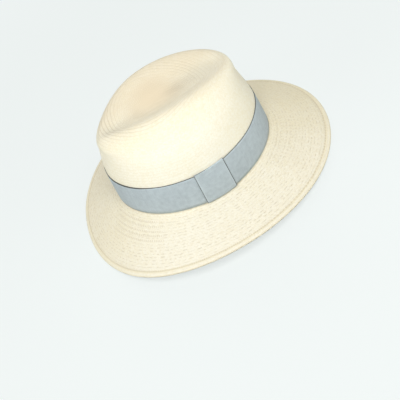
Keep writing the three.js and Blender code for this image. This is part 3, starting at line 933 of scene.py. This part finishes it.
def grid_of_rings(mesh):
    """Indices of the straw's vertices as rings of columns, from the rosette outside to the rosette inside.
    A vertex borders on its own column and the one before it in the ring before, which numbers the columns."""
    neighbours = [set() for _ in mesh.vertices]
    for edge in mesh.edges:
        low, high = edge.vertices
        neighbours[low].add(high)
        neighbours[high].add(low)
    busiest = sorted(range(len(neighbours)), key=lambda i: len(neighbours[i]))[-2:]
    outer_pole, inner_pole = sorted(busiest, key=lambda i: -mesh.vertices[i].co.z)
    pole = head_place(mesh.vertices[outer_pole].co)
    first = sorted(neighbours[outer_pole], key=lambda i: head_turn(head_place(mesh.vertices[i].co) - pole))
    rings = [first]
    seen = {outer_pole, *first}
    while inner_pole not in neighbours[rings[-1][0]]:
        ring = rings[-1]
        following = []
        for column, vertex in enumerate(ring):
            shared = neighbours[vertex] & neighbours[ring[column - 1]] - seen
            following.append(shared.pop())
        seen.update(following)
        rings.append(following)
    return outer_pole, inner_pole, rings


def ring_facts(mesh, rings):
    """Where the grid's main rings are: the ridge, the break, the rim and the end of the turned-under flap,
    and how far from the middle the break is."""
    middles = [sum((head_place(mesh.vertices[i].co) for i in ring), Vector()) / len(ring) for ring in rings]
    girths = [sum(head_place(mesh.vertices[i].co).xy.length for i in ring) / len(ring) for ring in rings]
    rim = girths.index(max(girths))
    crown = range(rim)
    break_ring = min(crown, key=lambda i: abs(middles[i].z))
    flap_end = next(i for i in range(rim, len(rings)) if girths[i + 1] > girths[i] - millimetre)
    ridge = max(crown, key=lambda i: middles[i].z)
    return ridge, break_ring, rim, flap_end, girths[break_ring]


def quads_of_rings(piece, rings):
    """Dissolves the diagonals of the straw's triangles, which join one column to the next."""
    places = {vertex: (row, column) for row, ring in enumerate(rings) for column, vertex in enumerate(ring)}
    active_only(piece)
    bpy.ops.object.mode_set(mode="EDIT")
    bpy.ops.mesh.select_mode(type="EDGE")
    bpy.ops.mesh.select_all(action="DESELECT")
    cage = bmesh.from_edit_mesh(piece.data)
    for edge in cage.edges:
        low, high = (places.get(vertex.index) for vertex in edge.verts)
        edge.select = bool(low and high and low[0] != high[0] and low[1] != high[1])
    bmesh.update_edit_mesh(piece.data)
    bpy.ops.mesh.dissolve_edges(use_verts=False)
    bpy.ops.object.mode_set(mode="OBJECT")


def fit_rings(mesh, rings):
    """Moves the grid out, so that the smoothed surface passes through where its points were. The weights are
    those of Catmull-Clark smoothing, for a point, its four neighbours and the four corners between them."""
    own_weight, edge_weight, corner_weight = 16, 4, 1
    all_weights = own_weight + 4 * (edge_weight + corner_weight)
    wanted = np.array([[mesh.vertices[i].co for i in ring] for ring in rings])
    grid = wanted.copy()
    for _ in range(fitting_rounds):
        beside = np.roll(grid, 1, axis=1) + np.roll(grid, -1, axis=1)
        edges = grid[:-2] + grid[2:] + beside[1:-1]
        corners = beside[:-2] + beside[2:]
        smooth = (own_weight * grid[1:-1] + edge_weight * edges + corner_weight * corners) / all_weights
        grid[1:-1] += wanted[1:-1] - smooth
    for ring, points in zip(rings, grid):
        for vertex, point in zip(ring, points):
            mesh.vertices[vertex].co = point


def straw_map(mesh, outer_pole, inner_pole, rings, settings):
    """For each vertex of the straw its turn, its row of the weave, its distance from the rim and how far it
    is on the wall, and what the weave has to know. Rows are counted along the straw from the rosette, and
    towards the break they are evened out, so that they run along the ribbon."""
    ridge, break_ring, rim, flap_end, wall_girth = ring_facts(mesh, rings)
    points = np.array([[mesh.vertices[i].co for i in ring] for ring in rings])
    pole = np.array(mesh.vertices[outer_pole].co)
    steps = np.linalg.norm(np.diff(points, axis=0), axis=2)
    start = np.linalg.norm(points[0] - pole, axis=1)
    arcs = np.concatenate(([start], start + np.cumsum(steps, axis=0)))
    to_break = arcs[break_ring]
    share = np.clip((arcs / to_break - level_from) / (1 - level_from), 0, 1)
    eased = share * share * (3 - 2 * share)
    levelled = arcs + (to_break.mean() - to_break) * eased
    break_row = to_break.mean() / settings.crown_row
    rows = levelled / settings.crown_row
    rows[break_ring:] = break_row + (arcs[break_ring:] - to_break) / settings.brim_row
    from_rim = arcs[rim] - arcs
    last = len(rings) - 1
    wall = np.clip((np.arange(len(rings)) - ridge) / wall_rings, 0, 1)

    # Past the flap's end the grid runs back along the inside, under the rows of the outside
    for ring in range(flap_end + 1, len(rings)):
        rows[ring] = rows[last - ring]
        wall[ring] = wall[last - ring]
        from_rim[ring] = -far_from_rim

    turn_of = [None] * len(mesh.vertices)
    row_of = [0.0] * len(mesh.vertices)
    from_rim_of = [far_from_rim] * len(mesh.vertices)
    from_rim_of[inner_pole] = -far_from_rim
    wall_of = [0.0] * len(mesh.vertices)
    for ring, vertices in enumerate(rings):
        for column, vertex in enumerate(vertices):
            turn_of[vertex] = column / len(vertices)
            row_of[vertex] = float(rows[ring][column])
            from_rim_of[vertex] = float(from_rim[ring][column])
            wall_of[vertex] = float(wall[ring])
    return turn_of, row_of, from_rim_of, wall_of, {"Wall_girth": wall_girth, "Break_row": float(break_row)}


def drawn_in(piece, hem):
    """Pulls the straw in along the stitch line, on the brim's top and on the flap below."""
    values = read_values(piece.data, "from_rim")
    normals = [vertex.normal.copy() for vertex in piece.data.vertices]
    for vertex, value, normal in zip(piece.data.vertices, values, normals):
        share = abs(abs(value) - hem.from_rim) / hem.groove_reach
        if share < 1:
            vertex.co -= normal * hem.groove * (1 - share ** 2) ** 2


# One operator for each piece or group of like pieces

class HAT_OT_straw_body(bpy.types.Operator):
    """The crown, the brim and the turned-under hem, woven in one piece"""
    bl_idname = "hat.straw_body"
    bl_label = "Straw body"

    def execute(self, context):
        straw, hem = context.scene.hat_straw, context.scene.hat_hem
        piece = copied_node("straw_body", "woven_straw")
        outer_pole, inner_pole, rings = grid_of_rings(piece.data)
        turns, rows, from_rim, wall, facts = straw_map(piece.data, outer_pole, inner_pole, rings, straw)
        quads_of_rings(piece, rings)
        write_map(piece.data, "cloth", turns, rows, 1)
        write_values(piece.data, "from_rim", from_rim)
        write_values(piece.data, "wall", wall)
        fit_rings(piece.data, rings)
        smoothed(piece)
        drawn_in(piece, hem)
        uneven(piece, straw)
        material = group_material(
            "woven straw", "straw weave", weave_group, straw.relief, "cloth", ("wall", "from_rim"),
            Light=straw.light, Dark=straw.dark, Groove=straw.groove, Rosette=straw.rosette, Hem=hem.cloth,
            Hem_line=hem.from_rim, Crown_row=straw.crown_row, Brim_row=straw.brim_row, Straw=straw.straw,
            Tint_middle=straw.dent_tone_and_shade_middle, **facts)
        dressed(piece, material, "straw", "straw_body")
        return {"FINISHED"}


class HAT_OT_hem_stitching(bpy.types.Operator):
    """The running stitch that holds the hem, on the brim's top and on its underside"""
    bl_idname = "hat.hem_stitching"
    bl_label = "Hem stitching"

    def execute(self, context):
        hem = context.scene.hat_hem
        stitch = stitch_mesh(hem.stitch, hem.thread)
        material = thread("hem thread", hem.colour)
        straw = bpy.data.objects["woven_straw"]
        for name, line in (("hem_stitching_top", hem.from_rim), ("hem_stitching_under", -hem.from_rim)):
            places = evenly(level_line(straw, "from_rim", line), hem.pitch)
            dressed(stitched(name, stitch, places), material, "straw")
        return {"FINISHED"}


class HAT_OT_ribbon_band(bpy.types.Operator):
    """The grosgrain ribbon round the crown, lapped under its keeper"""
    bl_idname = "hat.ribbon_band"
    bl_label = "Ribbon band"

    def execute(self, context):
        ribbon = context.scene.hat_ribbon
        piece = crisp_copy("ribbon_band", "grosgrain_band")
        low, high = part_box("ribbon_keeper")
        rounds, heights, whole = band_places(piece, head_turn(head_place((low + high) / 2)))
        write_map(piece.data, "cloth", rounds, heights, whole)
        uneven(piece, context.scene.hat_straw)
        # Painted shade along the band's high edge, wider at the hat's front and back
        material = grosgrain(
            "ribbon", ribbon, max(heights), ribbon.rib, ribbon.crest, ribbon.valley, ribbon.edge)
        dressed(piece, material, "ribbon", "ribbon_band")
        return {"FINISHED"}


class HAT_OT_ribbon_keeper(bpy.types.Operator):
    """The short length of ribbon wrapped upright over the band's lap"""
    bl_idname = "hat.ribbon_keeper"
    bl_label = "Ribbon keeper"

    def execute(self, context):
        ribbon = context.scene.hat_ribbon
        piece = crisp_copy("ribbon_keeper", "grosgrain_keeper")
        heights, acrosses = upright_places(piece)
        write_map(piece.data, "cloth", heights, acrosses)
        uneven(piece, context.scene.hat_straw)
        # The keeper gets painted shade along both edges and its top fold, and a painted highlight just inside
        # its edges
        material = grosgrain(
            "keeper ribbon", ribbon, max(acrosses), ribbon.rib, ribbon.crest, ribbon.valley,
            ribbon.keeper_edge, low_edge=1, fold=max(heights))
        dressed(piece, material, "ribbon", "ribbon_keeper")
        return {"FINISHED"}


class HAT_OT_sweatband(bpy.types.Operator):
    """The cotton band inside the crown, with the stitches that hold it to the straw"""
    bl_idname = "hat.sweatband"
    bl_label = "Sweatband"

    def execute(self, context):
        inside = context.scene.hat_inside
        piece = crisp_copy("sweatband", "cotton_sweatband")
        rounds, heights, whole = band_places(piece, back_turn)
        write_map(piece.data, "cloth", rounds, heights, whole)
        write_values(piece.data, "height", heights)
        uneven(piece, context.scene.hat_straw)
        # The sweatband's valley colour also serves as the painted shade along its edges
        material = grosgrain(
            "sweatband", context.scene.hat_ribbon, max(heights), inside.rib, inside.crest, inside.valley,
            inside.valley)
        dressed(piece, material, "sweatband", "sweatband")
        line = level_line(piece, "height", inside.seam_height, faces_head)
        stitch = stitch_mesh(inside.stitch, inside.thread)
        seam = stitched("sweatband_stitching", stitch, evenly(line, inside.pitch))
        dressed(seam, thread("sweatband thread", inside.crest), "sweatband")
        return {"FINISHED"}


class HAT_OT_sweatband_reed(bpy.types.Operator):
    """The covered reed that stiffens the sweatband's lower edge"""
    bl_idname = "hat.sweatband_reed"
    bl_label = "Sweatband reed"

    def execute(self, context):
        piece = crisp_copy("sweatband_reed", "covered_reed")
        uneven(piece, context.scene.hat_straw)
        dressed(piece, thread("reed covering", context.scene.hat_inside.reed), "reed", "sweatband_reed")
        return {"FINISHED"}


class HAT_OT_sweatband_bow(bpy.types.Operator):
    """The small bow at the back of the sweatband, and its knot"""
    bl_idname = "hat.sweatband_bow"
    bl_label = "Sweatband bow"

    def execute(self, context):
        inside = context.scene.hat_inside
        for node, name in (("sweatband_bow", "small_bow"), ("sweatband_bow_knot", "small_bow_knot")):
            piece = crisp_copy(node, name)
            low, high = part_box(node)
            alongs = [vertex.co.x - low.x for vertex in piece.data.vertices]
            acrosses = [vertex.co.z - low.z for vertex in piece.data.vertices]
            write_map(piece.data, "cloth", alongs, acrosses)
            uneven(piece, context.scene.hat_straw)
            # The bow's valley colour also serves as the painted shade along its edges
            material = grosgrain(
                name, context.scene.hat_ribbon, high.z - low.z, inside.bow_rib, inside.bow_crest,
                inside.bow_valley, inside.bow_valley)
            dressed(piece, material, "bow", node)
        return {"FINISHED"}


class HAT_OT_stage(bpy.types.Operator):
    """The camera, the soft lights and the pale floor"""
    bl_idname = "hat.stage"
    bl_label = "Stage"

    def execute(self, context):
        stage = context.scene.hat_stage
        context.scene.view_settings.view_transform = "Standard"
        bpy.ops.object.select_all(action="DESELECT")
        self.add_camera(context.scene, stage)
        self.add_lamps(stage)
        self.light_room(context.scene, stage)
        self.add_floor(stage)
        return {"FINISHED"}

    def add_camera(self, scene, stage):
        """The camera looks along the photograph's own direction, given in the hat's own frame."""
        bpy.ops.object.camera_add()
        camera = bpy.context.object
        camera.name = "camera"
        camera.data.lens = stage.lens
        back = direction(stage.azimuth, stage.elevation)
        right = Vector((math.cos(stage.azimuth), math.sin(stage.azimuth), 0))
        axes = Matrix((right, back.cross(right), back)).transposed() @ Matrix.Rotation(stage.roll, 3, "Z")
        place = Matrix.Translation(Vector(stage.aim) + back * stage.distance) @ axes.to_4x4()
        head = Matrix((head_left, head_back, head_up)).transposed().to_4x4()
        camera.matrix_world = Matrix.Translation(head_centre) @ head @ place
        scene.camera = camera

    def add_lamps(self, stage):
        """Large squares of light: the key high on the camera's side, weaker ones before and behind, and a
        fill on the far side."""
        names = ("key_light", "front_light", "back_light", "fill_light")
        for name, power, azimuth, elevation in zip(
                names, stage.lamp_powers, stage.lamp_azimuths, stage.lamp_elevations):
            back = direction(azimuth, elevation)
            bpy.ops.object.light_add(type="AREA", location=head_centre + back * stage.lamp_distance)
            lamp = bpy.context.object
            lamp.name = name
            lamp.data.size = stage.lamp_size
            lamp.data.energy = power
            lamp.rotation_euler = back.to_track_quat("Z", "Y").to_euler()

    def light_room(self, scene, stage):
        """Even light from all round, with the backdrop's colour where the camera sees it."""
        scene.world = bpy.data.worlds.new("room")
        scene.world.use_nodes = True
        net = Net(scene.world.node_tree)
        room = scene.world.node_tree.nodes["Background"]
        room.inputs["Color"].default_value = stage.room_colour
        room.inputs["Strength"].default_value = stage.room_light
        backdrop = net.add("ShaderNodeBackground")
        backdrop.inputs["Color"].default_value = stage.floor
        to_camera = net.add("ShaderNodeLightPath").outputs["Is Camera Ray"]
        net.show(to_camera, room, backdrop, "World Output")

    def add_floor(self, stage):
        """A plain pale floor under the brim. Past the shadow's reach it looks like the backdrop."""
        roughness = 0.9
        gloss = 0.1
        fade_start = stage.shadow_reach / 4
        bpy.ops.mesh.primitive_plane_add(size=stage.floor_size, location=(0, 0, cad_box[0].z))
        floor = bpy.context.object
        floor.name = "floor"
        bpy.ops.object.transform_apply(location=True)
        material = bpy.data.materials.new("floor")
        material.use_nodes = True
        net = Net(material.node_tree)
        shader = material.node_tree.nodes["Principled BSDF"]
        shader.inputs["Base Color"].default_value = stage.floor
        shader.inputs["Roughness"].default_value = roughness
        shader.inputs["Specular IOR Level"].default_value = gloss
        glow = net.add("ShaderNodeEmission")
        glow.inputs["Color"].default_value = stage.floor
        away = net.add("ShaderNodeVectorMath", operation="LENGTH")
        net.put(net.add("ShaderNodeTexCoord").outputs["Object"], away.inputs[0])
        far = net.rise(away.outputs["Value"], fade_start, stage.shadow_reach)
        share = net.scaled(far, 1 - stage.floor_glow, stage.floor_glow)
        to_camera = net.add("ShaderNodeLightPath").outputs["Is Camera Ray"]
        net.show(net.product(to_camera, share), shader, glow, "Material Output")
        floor.data.materials.append(material)


class HAT_PT_pieces(bpy.types.Panel):
    """Lists the hat's pieces and their settings"""
    bl_label = "Straw Fedora"
    bl_idname = "HAT_PT_pieces"
    bl_space_type = "VIEW_3D"
    bl_region_type = "UI"
    bl_category = "Hat"

    def draw(self, context):
        for operator in piece_operators:
            self.layout.operator(operator.bl_idname)
        for name, group in settings_groups.items():
            box = self.layout.box()
            for setting in group.__annotations__:
                box.prop(getattr(context.scene, name), setting)


settings_groups = {
    "hat_straw": StrawSettings, "hat_hem": HemSettings, "hat_ribbon": RibbonSettings,
    "hat_inside": InsideSettings, "hat_stage": StageSettings}
piece_operators = (
    HAT_OT_straw_body, HAT_OT_hem_stitching, HAT_OT_ribbon_band, HAT_OT_ribbon_keeper, HAT_OT_sweatband,
    HAT_OT_sweatband_reed, HAT_OT_sweatband_bow, HAT_OT_stage)


def register():
    for name, group in settings_groups.items():
        bpy.utils.register_class(group)
        setattr(bpy.types.Scene, name, bpy.props.PointerProperty(type=group))
    for operator in piece_operators:
        bpy.utils.register_class(operator)
    bpy.utils.register_class(HAT_PT_pieces)


def unregister():
    bpy.utils.unregister_class(HAT_PT_pieces)
    for operator in reversed(piece_operators):
        bpy.utils.unregister_class(operator)
    for name, group in reversed(settings_groups.items()):
        delattr(bpy.types.Scene, name)
        bpy.utils.unregister_class(group)


def main():
    """Builds the hat and its stage."""
    register()
    bpy.ops.hat.straw_body()
    bpy.ops.hat.hem_stitching()
    bpy.ops.hat.ribbon_band()
    bpy.ops.hat.ribbon_keeper()
    bpy.ops.hat.sweatband()
    bpy.ops.hat.sweatband_reed()
    bpy.ops.hat.sweatband_bow()
    bpy.ops.hat.stage()


if __name__ == "__main__":
    main()
